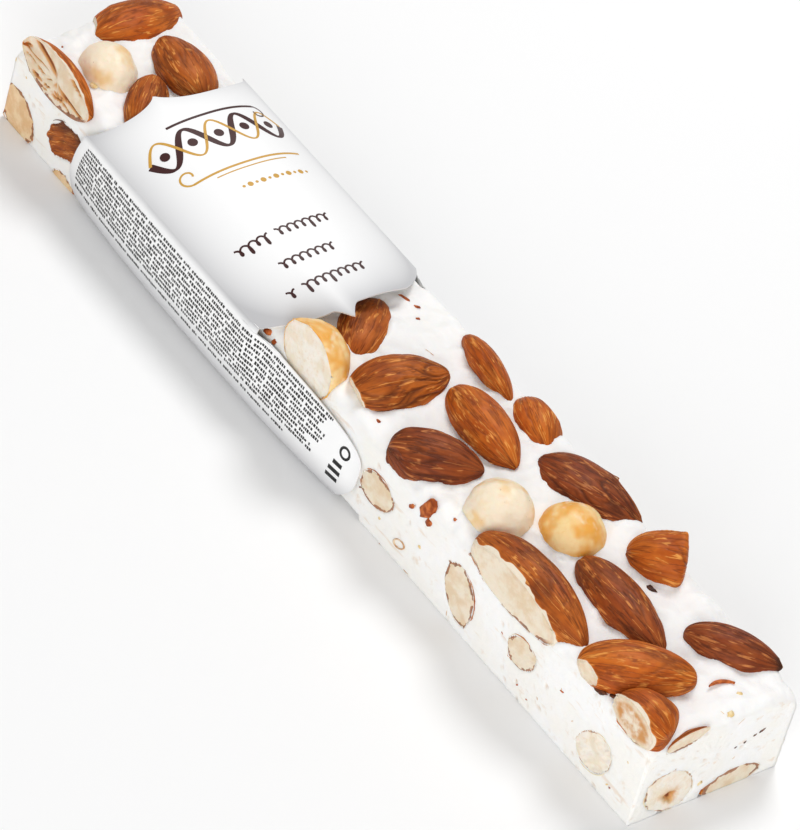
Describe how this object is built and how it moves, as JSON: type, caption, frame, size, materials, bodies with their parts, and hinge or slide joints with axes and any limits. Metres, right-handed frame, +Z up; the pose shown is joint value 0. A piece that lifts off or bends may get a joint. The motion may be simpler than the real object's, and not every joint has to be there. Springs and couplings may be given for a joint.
{
  "type": "nougat bar",
  "caption": "Long bar of soft white nougat packed with whole and cut almonds and hazelnuts, held in a narrow printed paper band.",
  "frame": {"origin": "middle of the bar's flat base", "axes": "+X along the bar towards the end where the most nuts show, -Y towards the long side that carries the band's text panel, +Z up"},
  "size_m": [0.17, 0.0346, 0.0228],
  "materials": {
    "nougat": "soft white nougat, slightly translucent, with pits and knife drag",
    "almond_skin": "roasted almond skin, wrinkled lengthwise, satin",
    "almond_dark": "dark roasted almond skin, wrinkled lengthwise, satin",
    "almond_sawn": "ivory sawn almond with a thin brown rim",
    "hazelnut": "blanched roasted hazelnut, mottled cream to gold",
    "hazelnut_sawn": "ivory sawn hazelnut with a faint tan rim",
    "paper_band": "white coated paper with dark brown, gold and black print in plain shapes"
  },
  "bodies": {
    "root": {"almond_rear_split": "almond_skin", "almond_rear_top": "almond_skin", "hazelnut_rear": "hazelnut", "almond_rear_right": "almond_skin", "almond_rear_middle": "almond_skin", "hazelnut_band": "hazelnut", "almond_band": "almond_skin", "almond_middle_cut": "almond_skin", "almond_far_edge": "almond_skin", "almond_middle": "almond_skin", "almond_far_cut": "almond_skin", "almond_dark_left": "almond_dark", "hazelnut_pale": "hazelnut", "hazelnut_golden": "hazelnut", "almond_dark_far": "almond_dark", "almond_half_far": "almond_skin", "almond_big_sawn": "almond_skin", "almond_between": "almond_dark", "almond_front_middle": "almond_skin", "almond_front_dark": "almond_dark", "almond_front_chunk": "almond_skin", "almond_front_slice": "almond_sawn", "almond_side_brown": "almond_skin", "almond_side_corner": "almond_sawn", "almond_side_low": "almond_sawn", "almond_side_band": "almond_sawn", "almond_side_tall": "almond_sawn", "almond_side_middle": "almond_sawn", "hazelnut_side": "hazelnut_sawn", "hazelnut_front": "hazelnut_sawn", "almond_front_low": "almond_sawn", "almond_back_rear": "almond_sawn", "almond_back_middle": "almond_sawn", "almond_back_front": "almond_sawn", "hazelnut_back_front": "hazelnut_sawn", "almond_end_rear": "almond_sawn", "hazelnut_end_rear": "hazelnut_sawn", "nougat": "nougat", "paper_band": "paper_band"}
  },
  "joints": []
}
